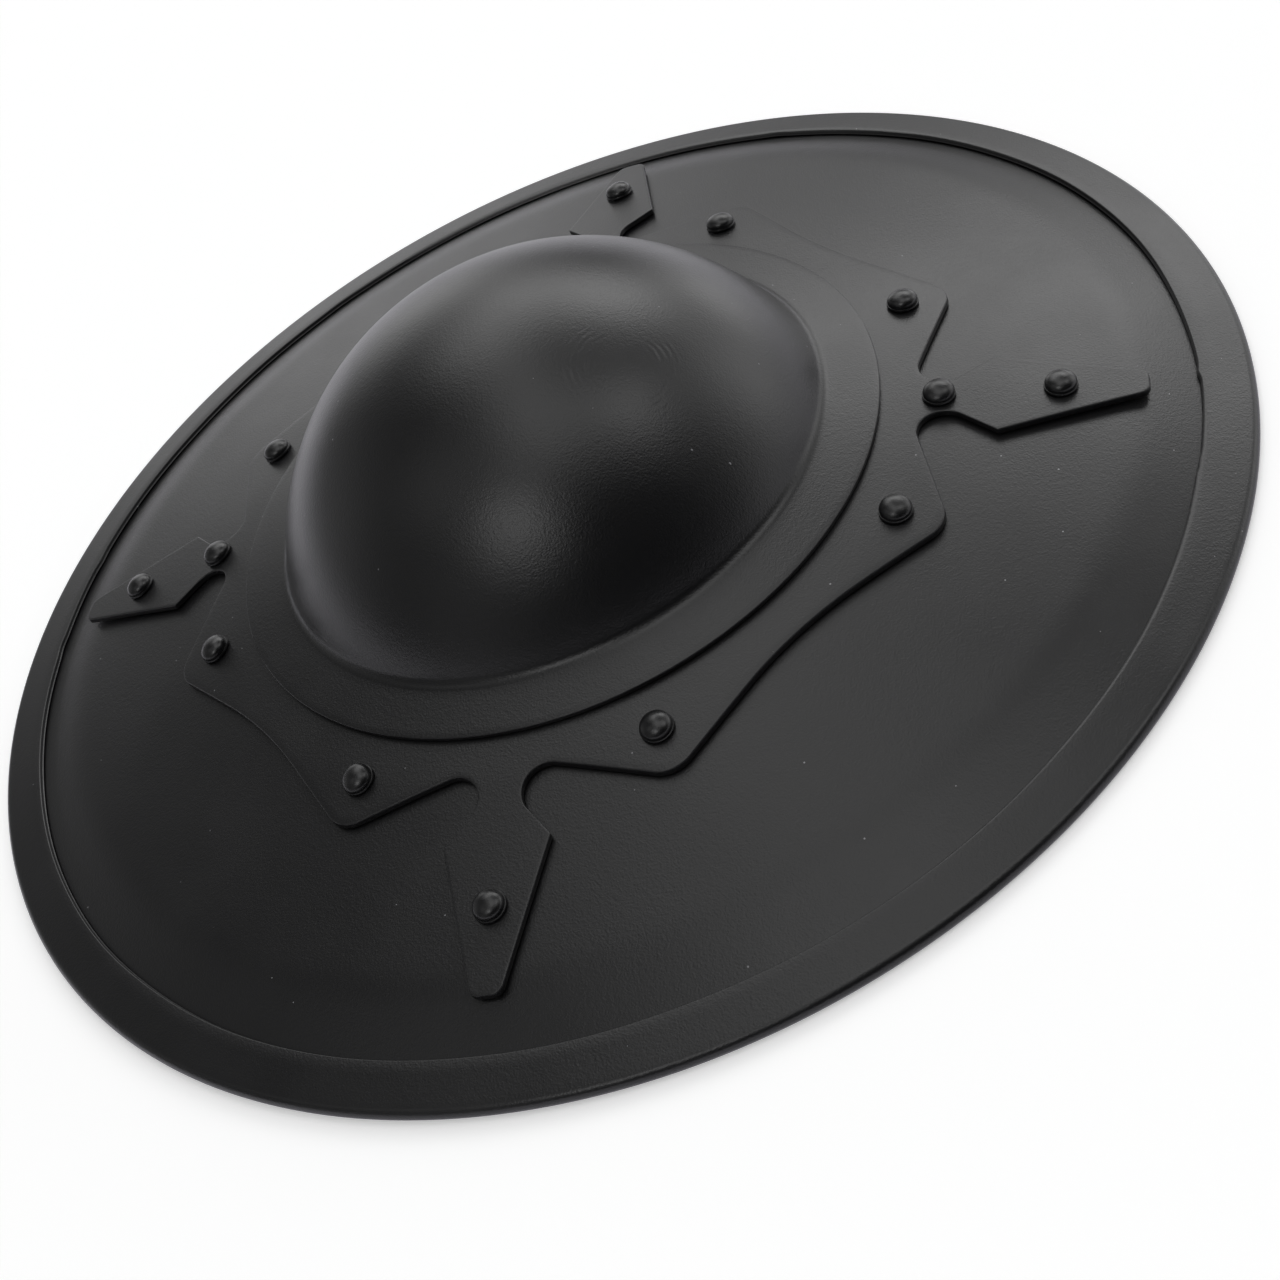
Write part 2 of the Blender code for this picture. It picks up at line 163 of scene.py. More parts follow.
# Radii that follow from the sizes above
RIM_HEIGHT = 2 * BODY_SHEET + FOLD_GAP
LAND_RADIUS = SHIELD_RADIUS - RIM_HEIGHT / 2 - LAND_WIDTH
LIP_RADIUS = SHIELD_RADIUS - HEM_WIDTH
FLANGE_RADIUS = BOSS_RADIUS + FLANGE_WIDTH
OPENING_RADIUS = BOSS_RADIUS - BOSS_SHEET - OPENING_LEDGE
LOBE_RIVET_RADIUS = FLANGE_RADIUS + FLANGE_TO_LOBE_RIVET
TIP_RADIUS = LIP_RADIUS - TIP_SETBACK
TIP_RIVET_RADIUS = TIP_RADIUS - TIP_TO_TIP_RIVET
NECK_RIVET_RADIUS = FLANGE_RADIUS + NECK_RIVET_SHARE * (TIP_RIVET_RADIUS - FLANGE_RADIUS)

# How far the middles of the sheets on the body lie off the middle of its own sheet
PLATE_OFFSET = BODY_SHEET / 2 + SEAT_GAP + PLATE_SHEET / 2
FLANGE_OFFSET = PLATE_OFFSET + PLATE_SHEET / 2 + SEAT_GAP + BOSS_SHEET / 2
STRAP_OFFSET = -(BODY_SHEET / 2 + SEAT_GAP + STRAP_THICKNESS / 2)

# Sheet that was beaten and folded by hand: its slow unevenness, and the hem's wandering edge
DENT_LENGTHS = np.array((47, 61, 38, 83, 29, 54, 71, 34)) * MM
DENT_DEPTH = 0.1 * MM
DENT_SEED = 11
DENT_MARGIN = 6 * MM
DENT_FADE = 30 * MM
LIP_SWAY = 0.25 * MM
LIP_SWAY_TURNS = (3, 5, 8, 13, 21)
LIP_SWAY_SEED = 5
LIP_ZONE = 4 * MM

# Knocks in the lip: azimuth, width before and after it in degrees, and distance out
LIP_KNOCKS = (
    (2.2, 0.6, 0.6, -0.45 * MM),
    (1.4, 7.0, 0.4, 0.2 * MM),
    (-8.6, 1.0, 0.5, -0.35 * MM),
    (-10.2, 9.0, 0.5, -0.6 * MM),
    (74, 1.5, 1.5, 0.35 * MM),
    (128, 2.0, 2.0, 0.3 * MM),
    (170, 1.0, 1.0, -0.35 * MM),
    (182, 1.2, 1.2, 0.35 * MM),
)

# The lip as it was cut, in mm (ahead, down to the body), with as many points as two quarter rounds:
# a small burr below, a torn slope, the cut wall and a crisp upper edge. Where the lip is beaten,
# its slope starts at the top of the wall.
LIP_CUT = (
    (-0.25, 0.75), (-0.12, 0.73), (-0.06, 0.68), (-0.04, 0.62), (-0.05, 0.57),
    (-0.09, 0.52), (-0.22, 0.39), (-0.27, 0.32), (-0.29, 0.24), (-0.30, -0.43),
    (-0.33, -0.57), (-0.40, -0.67), (-0.47, -0.72), (-0.58, -0.75),
)
LIP_WALL_TOP = LIP_CUT[9][0] * MM

# Where the lip is rolled over, and where it is beaten thinner, instead of crisp: azimuth, width
# before and after it in degrees
LIP_ROLL_PLACE = (-8, 42, 7)
LIP_BEATEN_PLACE = (100, 45, 22)

# Camera: where the photograph was taken from, and the point on the dish that its middle shows
CAMERA_PLACE = Vector((218.85, -433.20, 387.21)) * MM
CAMERA_AIM = Vector((31.46, -65.68, 20.00)) * MM
CAMERA_ROLL = math.radians(-29.59)
CAMERA_LENS = 60.24
SENSOR_WIDTH = 36
NEAREST_SHOWN = 10 * MM

# Light: name, azimuth and elevation of its middle and its spread in degrees, and its brightness,
# where the white of the picture is 1
GLOWS = (
    ("back window, right half", 75, 32, 9, 3.7),
    ("back window, left half", 99, 34, 9, 2.3),
    ("back window, top", 116, 50, 9, 2.1),
    ("wall behind, left", 121, 9, 11, 1.35),
    ("floor edge behind", 70, -3, 9, 3.0),
    ("wall at the right", 36, 14, 14, 1.9),
    ("high at the right", 13, 54, 9, 2.4),
    ("floor edge at the right", 4, -4, 9, 1.2),
    ("ceiling", 335, 82, 11, 1.8),
    ("ceiling behind", 105, 73, 9, 1.1),
    ("ceiling at the left", 204, 55, 9, 0.6),
    ("wall at the left", 173, 15, 18, 0.36),
    ("wall in front, left", 236, 21, 18, 0.3),
    ("small lamp in front", 262, 52, 7, 4.0),
)
BACKDROP = 0.95
FLOOR_REACH = 3.0
FLOOR_GREY = 0.86
FLOOR_ROUGHNESS = 0.9
FLOOR_SPECULAR = 0.1
FLOOR_GLOW = (0.36, 0.36, 0.36)
FLOOR_SHEEN = (0.21, 0.20, 0.25)
UNDER_LAMP_SIZE = 0.8
UNDER_LAMP_DEPTH = 0.6
UNDER_LAMP_BRIGHTNESS = 5.0

# Paint
BLACK = (0.007, 0.007, 0.0075)
GRAIN_SIZE = 0.55 * MM
GRAIN_DEPTH = 0.06 * MM
COARSE_SCALE = 0.42
COARSE_WEIGHT = 0.5
GLOSS_SIZE = 35 * MM
GLOSS_NOISE = (0.35, 0.65)
GLOSS_SPREAD = 0.05
SPECK_GREY = (0.22, 0.22, 0.23)
SPECK_SPACING = 7 * MM
SPECK_RADIUS = 0.24 * MM
SPECK_SHARE = 0.06
MARKS_SPOT = (0.0424, -0.0193, 0.0718)
MARKS_ALONG = (0.92, 0.10, -0.37)
MARKS_DEPTH = 0.7
MARKS_PITCH = 1.8 * MM
MARKS_INNER = 5 * MM
MARKS_OUTER = 19 * MM
MARKS_EASE_IN = 5 * MM
MARKS_EASE_OUT = 8 * MM
MARKS_SLANT = (0.35, 0.95)
MARKS_PATCHES = 230.0
MARKS_NOISE = (0.38, 0.7)
WORN_GREY = (0.022, 0.021, 0.020)
WORN_ROUGHNESS = 0.12
WORN_HALF_LENGTH = 45 * MM
WORN_FADE = 20 * MM
WORN_PATCHES = 90.0
WORN_NOISE = (0.3, 0.6)

# Kinds of socket, and the places of the colour sockets on the Mix node
FLOAT = "NodeSocketFloat"
VECTOR = "NodeSocketVector"
MIX_FIRST = 6
MIX_SECOND = 7
MIX_RESULT = 2


def smoothstep(value):
    """Smooth rise of a value from 0 to 1: its square times three less twice itself."""
    value = np.clip(value, 0, 1)
    return value * value * (3 - 2 * value)


def signed_power(value, power):
    """Power of a value's size, with the value's own sign."""
    return np.sign(value) * np.abs(value) ** power


def new_piece(name, points, faces, material, nodes):
    """A closed smooth mesh from arrays, turned outwards, that rides on the body and stands for nodes.

    Points that coincide become one, faces lose the corners that fall together, and the sign of
    the enclosed volume tells which way the faces point.
    """
    _, first, label = np.unique(
        np.round(points / WELD).astype(np.int64), axis=0, return_index=True, return_inverse=True
    )
    points = points[first]
    faces = label.reshape(-1)[faces]
    a, b, c, d = (points[faces[:, k]] for k in range(4))
    volume = np.einsum("ij,ij->", a, np.cross(b, c)) + np.einsum("ij,ij->", a, np.cross(c, d))
    if volume < 0:
        faces = faces[:, ::-1]
    keep = faces != np.roll(faces, 1, axis=1)
    counts = keep.sum(axis=1)
    whole = counts > 2
    corners = faces[whole][keep[whole]]
    totals = counts[whole]
    mesh = bpy.data.meshes.new(name)
    mesh.vertices.add(len(points))
    mesh.vertices.foreach_set("co", points.astype(np.float32).ravel())
    mesh.loops.add(len(corners))
    mesh.loops.foreach_set("vertex_index", corners.astype(np.int32))
    mesh.polygons.add(len(totals))
    starts = np.concatenate(([0], np.cumsum(totals)[:-1]))
    mesh.polygons.foreach_set("loop_start", starts.astype(np.int32))
    mesh.update(calc_edges=True)
    mesh.validate()
    mesh.shade_smooth()
    mesh.set_sharp_from_angle(angle=SHARP_ANGLE)
    mesh.materials.append(material)
    piece = bpy.data.objects.new(name, mesh)
    bpy.context.scene.collection.objects.link(piece)
    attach(piece, "root")
    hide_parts(*nodes)
    return piece


def grid_faces(rows, columns, round_rows=False, round_columns=False):
    """Four-cornered faces over a grid of points, joined end to end where a direction is round."""
    index = np.arange(rows * columns).reshape(rows, columns)
    if round_rows:
        index = np.vstack((index, index[:1]))
    if round_columns:
        index = np.hstack((index, index[:, :1]))
    corners = (index[:-1, :-1], index[:-1, 1:], index[1:, 1:], index[1:, :-1])
    return np.stack(corners, axis=-1).reshape(-1, 4)


def arc(centre, radius, start, stop, count):
    """Stations (r, z, heading) on an arc: heading turns evenly from start to stop, and each point
    is the centre plus the radius to the right of its heading, or to the left of it if negative."""
    heading = np.linspace(start, stop, count + 1)
    r = centre[0] + radius * np.sin(heading)
    z = centre[1] - radius * np.cos(heading)
    return np.stack((r, z, heading), axis=1)


def straight(start, stop, heading, count):
    """Stations evenly spaced between two points, without the last one."""
    share = np.arange(count)[:, None] / count
    places = np.array(start) + (np.array(stop) - np.array(start)) * share
    return np.column_stack((places, np.full(count, heading)))


def skirt_foot():
    """Radius and height of the body's middle surface where its skirt meets the bend to the land."""
    skirt_r = LAND_RADIUS - LAND_BEND * math.sin(SKIRT_ANGLE)
    skirt_z = BODY_SHEET / 2 + LAND_BEND * (1 - math.cos(SKIRT_ANGLE))
    return skirt_r, skirt_z


def skirt_height(r):
    """Height of the body's middle surface at radius r on the straight skirt."""
    skirt_r, skirt_z = skirt_foot()
    return skirt_z + (skirt_r - r) * math.tan(SKIRT_ANGLE)


def cone_end():
    """Radius and height of the body's middle surface where its cone ends and its bend begins."""
    skirt_r, skirt_z = skirt_foot()
    bend_r = skirt_r - SKIRT_WIDTH
    bend_z = skirt_z + SKIRT_WIDTH * math.tan(SKIRT_ANGLE)
    end_r = bend_r - DISH_BEND * (math.sin(SKIRT_ANGLE) - math.sin(DISH_ANGLE))
    end_z = bend_z + DISH_BEND * (math.cos(DISH_ANGLE) - math.cos(SKIRT_ANGLE))
    return end_r, end_z


def cone_height(r, offset):
    """Height at radius r of the cone that lies off the body's middle surface by the offset."""
    end_r, end_z = cone_end()
    return end_z + (end_r - r) * math.tan(DISH_ANGLE) + offset / math.cos(DISH_ANGLE)


def round_end(thickness, radius, reach=None):
    """End of a sheet as points (ahead, to the left) from its left face to its right face: two
    quarter rounds, the second one stretched back into an ellipse by the reach."""
    turn = np.linspace(0, math.pi / 2, ROUND_STEPS + 1)
    away = thickness / 2 - radius * (1 - np.cos(turn))
    first = np.column_stack((radius * (np.sin(turn) - 1), away))
    second = np.column_stack(((reach or radius) * (np.sin(turn) - 1), -away))
    return np.concatenate((first, second[::-1]))


def sheet_outline(path, thickness, start_end, stop_end):
    """Closed outline (r, z, share along the path) of a sheet that follows the path: its left side
    out, its right side back, and the given points round each end."""
    r, z, heading = path.T
    share = np.linspace(0, 1, len(path))
    across = np.column_stack((-np.sin(heading), np.cos(heading)))
    middle = path[:, :2]
    left = np.column_stack((middle + across * thickness / 2, share))
    right = np.column_stack((middle - across * thickness / 2, share))
    ends = []
    for station, end, way in ((-1, stop_end, 1), (0, start_end, -1)):
        ahead = way * np.array((math.cos(heading[station]), math.sin(heading[station])))
        side = way * across[station]
        cap = middle[station] + end[:, :1] * ahead + end[:, 1:] * side
        ends.append(np.column_stack((cap, np.full(len(cap), share[station]))))
    return np.concatenate((left[1:-1], ends[0], right[-2:0:-1], ends[1]))


def waves(x, y, lengths, seed):
    """Sum of plane waves of the given lengths, each in its own direction and phase, from -1 to 1."""
    rng = np.random.default_rng(seed)
    total = np.zeros_like(x)
    for length in lengths:
        way = rng.uniform(0, math.tau)
        phase = rng.uniform(0, math.tau)
        total += np.sin(math.tau * (x * math.cos(way) + y * math.sin(way)) / length + phase)
    return total / len(lengths)


def bell(degrees, centre, before, after):
    """Bell curve of height 1 along the rim, with its own width on each side of its centre."""
    away = (degrees - centre + 180) % 360 - 180
    return np.exp(-((away / np.where(away < 0, before, after)) ** 2))


def dents(x, y):
    """Height of the body's slow unevenness, which the plate on it follows."""
    return DENT_DEPTH * waves(x, y, DENT_LENGTHS, DENT_SEED)


def lip_wander(azimuth):
    """How far the lip stands out or in along the rim: sines of a few whole turns, and knocks."""
    rng = np.random.default_rng(LIP_SWAY_SEED)
    sway = np.zeros_like(azimuth)
    for turns in LIP_SWAY_TURNS:
        sway += LIP_SWAY * np.sin(turns * azimuth + rng.uniform(0, math.tau)) / math.sqrt(turns)
    knocks = sum(depth * bell(np.degrees(azimuth), *place) for *place, depth in LIP_KNOCKS)
    return sway + knocks


def body_path():
    """Stations along the middle of the body's sheet from the opening out to the fold and back to
    the lip, and the number of the station in the middle of the fold. The hem is the tangent from
    the fold's circle to the lip."""
    end_r, end_z = cone_end()
    skirt_r, skirt_z = skirt_foot()
    opening = (OPENING_RADIUS, cone_height(OPENING_RADIUS, 0))
    cone = straight(opening, (end_r, end_z), -DISH_ANGLE, CONE_STEPS)
    bend_centre = (
        end_r - DISH_BEND * math.sin(DISH_ANGLE),
        end_z - DISH_BEND * math.cos(DISH_ANGLE),
    )
    bend = arc(bend_centre, -DISH_BEND, -DISH_ANGLE, -SKIRT_ANGLE, BEND_STEPS)
    skirt = straight(bend[-1][:2], (skirt_r, skirt_z), -SKIRT_ANGLE, SKIRT_STEPS)[1:]
    land = arc((LAND_RADIUS, BODY_SHEET / 2 + LAND_BEND), LAND_BEND, -SKIRT_ANGLE, 0, LAND_STEPS)
    fold_centre = (LAND_RADIUS + LAND_WIDTH, RIM_HEIGHT / 2)
    fold_radius = (BODY_SHEET + FOLD_GAP) / 2
    lip_z = skirt_height(LIP_RADIUS) + (BODY_SHEET + LIP_GAP) / math.cos(SKIRT_ANGLE)
    reach_r = fold_centre[0] - LIP_RADIUS
    reach_z = fold_centre[1] - lip_z
    reach = math.hypot(reach_r, reach_z)
    hem_heading = math.pi + math.atan2(reach_z, reach_r) + math.asin(fold_radius / reach)
    fold = arc(fold_centre, fold_radius, 0, hem_heading, FOLD_STEPS)
    ahead = np.array((math.cos(hem_heading), math.sin(hem_heading)))
    lip_start = np.array((LIP_RADIUS, lip_z)) - LIP_ZONE * ahead
    hem = straight(fold[-1][:2], lip_start, hem_heading, HEM_STEPS)[1:]
    lip = np.array([(*lip_start, hem_heading), (LIP_RADIUS, lip_z, hem_heading)])
    before = (cone, bend, skirt, land)
    path = np.concatenate((*before, fold, hem, lip))
    return path, sum(len(part) for part in before) + len(fold) // 2


def beaten_end():
    """End of the hem where its lip is beaten thinner: the cut lip's lower half, and above it a
    quarter ellipse that runs far back."""
    cut = np.array(LIP_CUT) * MM
    turn = np.linspace(math.pi / 2, 0, ROUND_STEPS + 1)
    back = LIP_BEATEN * (np.sin(turn) - 1) + LIP_WALL_TOP
    upper = np.column_stack((back, -BODY_SHEET / 2 * np.cos(turn)))
    return np.concatenate((cut[:ROUND_STEPS + 1], upper))


def make_body(paint):
    """The folded sheet, turned about Z: each outline point goes round on its own radius. The
    outline's lip is crisp, rolled or beaten along the rim and wanders in and out, and the height
    follows the dents up to the land."""
    path, fold_middle = body_path()
    azimuth = np.linspace(0, math.tau, AROUND_BODY, endpoint=False)
    rolled = bell(np.degrees(azimuth), *LIP_ROLL_PLACE)
    beaten = bell(np.degrees(azimuth), *LIP_BEATEN_PLACE)
    opening_end = round_end(BODY_SHEET, EDGE_ROUND)
    lips = (np.array(LIP_CUT) * MM, round_end(BODY_SHEET, BODY_SHEET / 2, LIP_ROLL), beaten_end())
    outlines = [sheet_outline(path, BODY_SHEET, opening_end, lip) for lip in lips]
    crisp, soft, thin = (outline[:, :2, None] for outline in outlines)
    r, z = np.moveaxis(crisp + (soft - crisp) * rolled + (thin - crisp) * beaten, 1, 0)
    on_hem = outlines[0][:, 2, None] * (len(path) - 1) > fold_middle
    near_lip = on_hem * smoothstep((LIP_RADIUS + LIP_ZONE - r) / LIP_ZONE)
    radius = r + near_lip * lip_wander(azimuth)
    x = radius * np.cos(azimuth)
    y = radius * np.sin(azimuth)
    dented = ~on_hem * smoothstep((LAND_RADIUS - DENT_MARGIN - r) / DENT_FADE)
    points = np.stack((x, y, z + dented * dents(x, y)), axis=-1)
    rows, columns = points.shape[:2]
    faces = grid_faces(rows, columns, round_rows=True, round_columns=True)
    new_piece("body_sheet", points.reshape(-1, 3), faces, paint, ["shield_body"])


def boss_path():
    """Stations along the middle of the boss's sheet from the crown over the fillet to its edge.

    The sphere's radius is (r^2 + h^2) / 2h from the boss's radius and height. The fillet's centre
    lies its own radius off the flange and both radii from the dome's centre, which makes a
    quadratic in its distance from the axis.
    """
    base_z = cone_height(BOSS_RADIUS, FLANGE_OFFSET + BOSS_SHEET / 2)
    sphere = (BOSS_RADIUS**2 + BOSS_HEIGHT**2) / (2 * BOSS_HEIGHT)
    centre_z = base_z + BOSS_HEIGHT - sphere
    middle = sphere - BOSS_SHEET / 2
    fillet = BOSS_FILLET + BOSS_SHEET / 2
    slope = math.tan(DISH_ANGLE)
    rise = cone_height(0, FLANGE_OFFSET + fillet) - centre_z
    a = 1 + slope**2
    b = -2 * slope * rise
    c = rise**2 - (middle + fillet) ** 2
    fillet_r = (-b + math.sqrt(b * b - 4 * a * c)) / (2 * a)
    fillet_z = cone_height(fillet_r, FLANGE_OFFSET + fillet)
    turn = math.atan2(fillet_r, fillet_z - centre_z)
    dome = arc((0, centre_z), -middle, 0, -turn, DOME_STEPS)
    foot = arc((fillet_r, fillet_z), fillet, -turn, -DISH_ANGLE, FILLET_STEPS)
    edge = (FLANGE_RADIUS, cone_height(FLANGE_RADIUS, FLANGE_OFFSET))
    flange = straight(foot[-1][:2], edge, -DISH_ANGLE, FLANGE_STEPS)[1:]
    last = np.array([(*edge, -DISH_ANGLE)])
    return np.concatenate((dome[:-1], foot, flange, last))


def make_boss(paint):
    """The spun dome: the outline of its sheet turned about Z, closed at the crown."""
    path = boss_path()
    edge = round_end(BOSS_SHEET, EDGE_ROUND)
    outline = sheet_outline(path, BOSS_SHEET, edge, edge)
    on_axis = np.array([(0, path[0][1] + BOSS_SHEET / 2, 0), (0, path[0][1] - BOSS_SHEET / 2, 0)])
    outline = np.concatenate((on_axis[:1], outline[:-2 * (ROUND_STEPS + 1)], on_axis[1:]))
    r, z, _ = outline.T[:, :, None]
    azimuth = np.linspace(0, math.tau, AROUND_BOSS, endpoint=False)
    x = r * np.cos(azimuth)
    y = r * np.sin(azimuth)
    points = np.stack((x, y, np.broadcast_to(z, x.shape)), axis=-1)
    rows, columns = points.shape[:2]
    faces = grid_faces(rows, columns, round_columns=True)
    new_piece("boss_shell", points.reshape(-1, 3), faces, paint, ["boss"])


def arm_circles(shoulder_shift):
    """Circles (x, y, radius) round one side of the arm along +X, from its tip in to its waist."""
    neck = NECK_RIVET_RADIUS + NECK_LEAD
    lobe = LOBE_RIVET_RADIUS + LOBE_LEAD
    waist = FLANGE_RADIUS + FLANGE_TO_WAIST + WAIST_ROUND
    waist_angle = math.pi / ARM_COUNT
    return [
        (TIP_RADIUS - TIP_ROUND, TIP_HALF_WIDTH - TIP_ROUND, TIP_ROUND),
        (
            neck + NECK_TO_SHOULDER + shoulder_shift - SHOULDER_ROUND,
            SHOULDER_HALF_WIDTH - SHOULDER_ROUND,
            SHOULDER_ROUND,
        ),
        (neck, NECK_HALF_WIDTH + NECK_ROUND, -NECK_ROUND),
        (lobe * math.cos(LOBE_ANGLE), lobe * math.sin(LOBE_ANGLE), LOBE_ROUND),
        (waist * math.cos(waist_angle), waist * math.sin(waist_angle), -WAIST_ROUND),
    ]


def half_arm_outline(shoulder_shift):
    """Outline (x, y, outward angle, leg) from the middle of the tip to the middle of the waist.

    The circles are joined by common tangents: on each leg the outward direction is the angle of
    the line between two centres plus acos of their difference in radius over their distance. The
    leg counts 1 for each circle passed, with the share of the next stretch added.
    """
    circles = arm_circles(shoulder_shift)
    normals = [0.0]
    for (x, y, radius), (next_x, next_y, next_radius) in zip(circles, circles[1:]):
        gap = math.hypot(next_x - x, next_y - y)
        direction = math.atan2(next_y - y, next_x - x)
        turn = math.acos((next_radius - radius) / gap)
        normals.append(direction + turn - math.pi)
    normals.append(math.pi / ARM_COUNT)
    normals = np.unwrap(normals)
    points = [np.array([(TIP_RADIUS, 0, 0, 0)])]
    for k, (x, y, radius) in enumerate(circles):
        angle = np.linspace(normals[k], normals[k + 1], ARC_STEPS[k] + 1)
        round_x = x + radius * np.cos(angle)
        round_y = y + radius * np.sin(angle)
        leg = k + 0.5 + np.linspace(0, 0.5, len(angle))
        stretch = np.stack((round_x, round_y, angle, leg), axis=1)
        share = np.linspace(0, 1, LEG_STEPS[k] + 1)[1:-1, None]
        lead = points[-1][-1] + (stretch[0] - points[-1][-1]) * share
        lead[:, 2] = normals[k]
        points += [lead, stretch]
    return np.concatenate(points)


def spine_feet(leg):
    """Where the plate's inner line lies across from each outline point: on the arm's middle line
    from near the tip in to the opening, then round the opening's edge to the waist."""
    neck = NECK_RIVET_RADIUS + NECK_LEAD
    shoulder = neck + NECK_TO_SHOULDER
    runs = (
        (0, TIP_RADIUS - 2 * TIP_ROUND - OPENING_RADIUS),
        (1, TIP_RADIUS - 4 * TIP_ROUND - OPENING_RADIUS),
        (1.5, shoulder - SPINE_SETBACKS[0] - OPENING_RADIUS),
        (2, shoulder - SPINE_SETBACKS[1] - OPENING_RADIUS),
        (2.5, neck - OPENING_RADIUS),
        (3, 0),
        (3.5, -OPENING_RADIUS * LOBE_ANGLE * (1 - LOBE_SPREAD)),
        (4, -OPENING_RADIUS * LOBE_ANGLE * (1 + LOBE_SPREAD)),
        (5, -OPENING_RADIUS * math.pi / ARM_COUNT),
    )
    run = np.interp(leg, *zip(*runs))
    angle = np.maximum(-run, 0) / OPENING_RADIUS
    reach = OPENING_RADIUS + np.maximum(run, 0)
    return reach * np.cos(angle), reach * np.sin(angle)


def turn_about_axis(points, angle):
    """Points turned about Z."""
    x, y, z = points[..., 0], points[..., 1], points[..., 2]
    cos = math.cos(angle)
    sin = math.sin(angle)
    return np.stack((x * cos - y * sin, x * sin + y * cos, z), axis=-1)


def plate_lift(radius, arm):
    """How far the plate stands off its seat: its free edges spring up past the flange, and the
    tips of its arms a little more."""
    edge = EDGE_LIFT * smoothstep((radius - FLANGE_RADIUS) / EDGE_LIFT_REACH)
    outward = (radius - NECK_RIVET_RADIUS) / (TIP_RADIUS - NECK_RIVET_RADIUS)
    return edge + TIP_LIFTS[arm] * smoothstep(outward)


def across_plate():
    """Stations (share from inner line to outline, inset from the outline, height) across the plate:
    out along its top, over the rounded edge, down the wall and back underneath."""
    inner = np.linspace(0, 1, PLATE_STEPS)
    turn = np.linspace(0, math.pi / 2, ROUND_STEPS + 1)
    inset = EDGE_ROUND * (1 - np.sin(turn))
    rise = PLATE_SHEET / 2 - EDGE_ROUND * (1 - np.cos(turn))
    level = np.ones(PLATE_STEPS)
    top = np.column_stack((inner, EDGE_ROUND * level, PLATE_SHEET / 2 * level))
    edge = np.column_stack((np.ones(len(turn)), inset, rise))
    upper = np.concatenate((top[:-1], edge))
    return np.concatenate((upper, upper[::-1] * (1, 1, -1)))


def half_arm_grid(arm):
    """Points of half an arm before it is turned into place, their faces, and which rows lie on
    the opening's edge and so need an inner wall."""
    outline = half_arm_outline(SHOULDER_SHIFTS[arm])
    foot_x, foot_y = spine_feet(outline[:, 3])
    share, inset, rise = across_plate().T
    edge_x = outline[:, 0, None] - inset * np.cos(outline[:, 2, None])
    edge_y = outline[:, 1, None] - inset * np.sin(outline[:, 2, None])
    x = foot_x[:, None] + (edge_x - foot_x[:, None]) * share
    y = foot_y[:, None] + (edge_y - foot_y[:, None]) * share
    rows, columns = x.shape
    inner_rows = np.flatnonzero(np.hypot(foot_x, foot_y) <= OPENING_RADIUS + WELD)
    top = inner_rows * columns
    bottom = top + columns - 1
    wall = np.stack((bottom[:-1], bottom[1:], top[1:], top[:-1]), axis=1)
    faces = np.concatenate((grid_faces(rows, columns), wall))
    return np.stack((x, y, np.broadcast_to(rise, x.shape)), axis=-1), faces


def make_cross_plate(paint):
    """The cross plate, as eight half arms.

    Across each half arm a line runs from the inner line to the outline and back underneath. Every
    point's height is that of the cone through its layer, plus the dents below it and its lift.
    """
    points = []
    faces = []
    start = 0
    for arm in range(ARM_COUNT):
        flat, half_faces = half_arm_grid(arm)
        radius = np.hypot(flat[..., 0], flat[..., 1])
        height = cone_height(radius, PLATE_OFFSET + flat[..., 2]) + plate_lift(radius, arm)
        for side in (1, -1):
            placed = turn_about_axis(flat * (1, side, 1), math.tau * arm / ARM_COUNT)
            placed[..., 2] = height + dents(placed[..., 0], placed[..., 1])
            points.append(placed.reshape(-1, 3))
            faces.append(start + (half_faces if side > 0 else half_faces[:, ::-1]))
            start += len(points[-1])
    points = np.concatenate(points)
    faces = np.concatenate(faces)
    new_piece("cross_sheet", points, faces, paint, ["cross_plate"])


def crown(radius, base_z, height, count):
    """Quarter ellipse of (r, z) points from the axis out to its foot at the radius."""
    angle = np.linspace(0, math.pi / 2, count + 1)
    return np.column_stack((radius * np.sin(angle), base_z + height * np.cos(angle)))


def rivet_outline(with_grip):
    """Outline (r, z) of a rivet from the crown of its head down to the crown of its tail. The snap
    has left a thin collar round the foot of the head."""
    depth = PLATE_SHEET + SEAT_GAP + BODY_SHEET
    if with_grip:
        depth += SEAT_GAP + STRAP_THICKNESS
    tail_z = -depth - SEAT_GAP
    neck_radius = HEAD_RADIUS - COLLAR_STEP
    head = crown(neck_radius, HEAD_HEIGHT - HEAD_CROWN, HEAD_CROWN, HEAD_STEPS)
    collar = COLLAR_HEIGHT + COLLAR_STEP
    foot = np.array([
        (neck_radius, collar),
        (neck_radius + COLLAR_STEP / 2, collar - COLLAR_STEP / 8),
        (HEAD_RADIUS, COLLAR_HEIGHT),
        (HEAD_RADIUS, COLLAR_STEP),
        (HEAD_RADIUS - COLLAR_STEP, 0),
    ])
    head_side = np.concatenate((head, foot)) + (0, SEAT_GAP)
    shank = np.array([(SHANK_RADIUS, SEAT_GAP), (SHANK_RADIUS, tail_z)])
    tail = crown(TAIL_RADIUS, tail_z, -TAIL_HEIGHT, TAIL_STEPS)
    return np.concatenate((head_side, shank, tail[::-1]))


def rivet_places():
    """(kind, number, radius, azimuth, whether the grip is in the stack) of every rivet."""
    places = []
    for k in range(ARM_COUNT):
        azimuth = math.tau * k / ARM_COUNT
        places.append(("tip", k + 1, TIP_RIVET_RADIUS, azimuth, False))
        for side in (0, 1):
            lobe_azimuth = azimuth + (2 * side - 1) * LOBE_ANGLE
            places.append(("lobe", 2 * k + side + 1, LOBE_RIVET_RADIUS, lobe_azimuth, False))
    for k in (0, 1):
        places.append(("neck", k + 1, NECK_RIVET_RADIUS, math.pi * k, True))
    return places


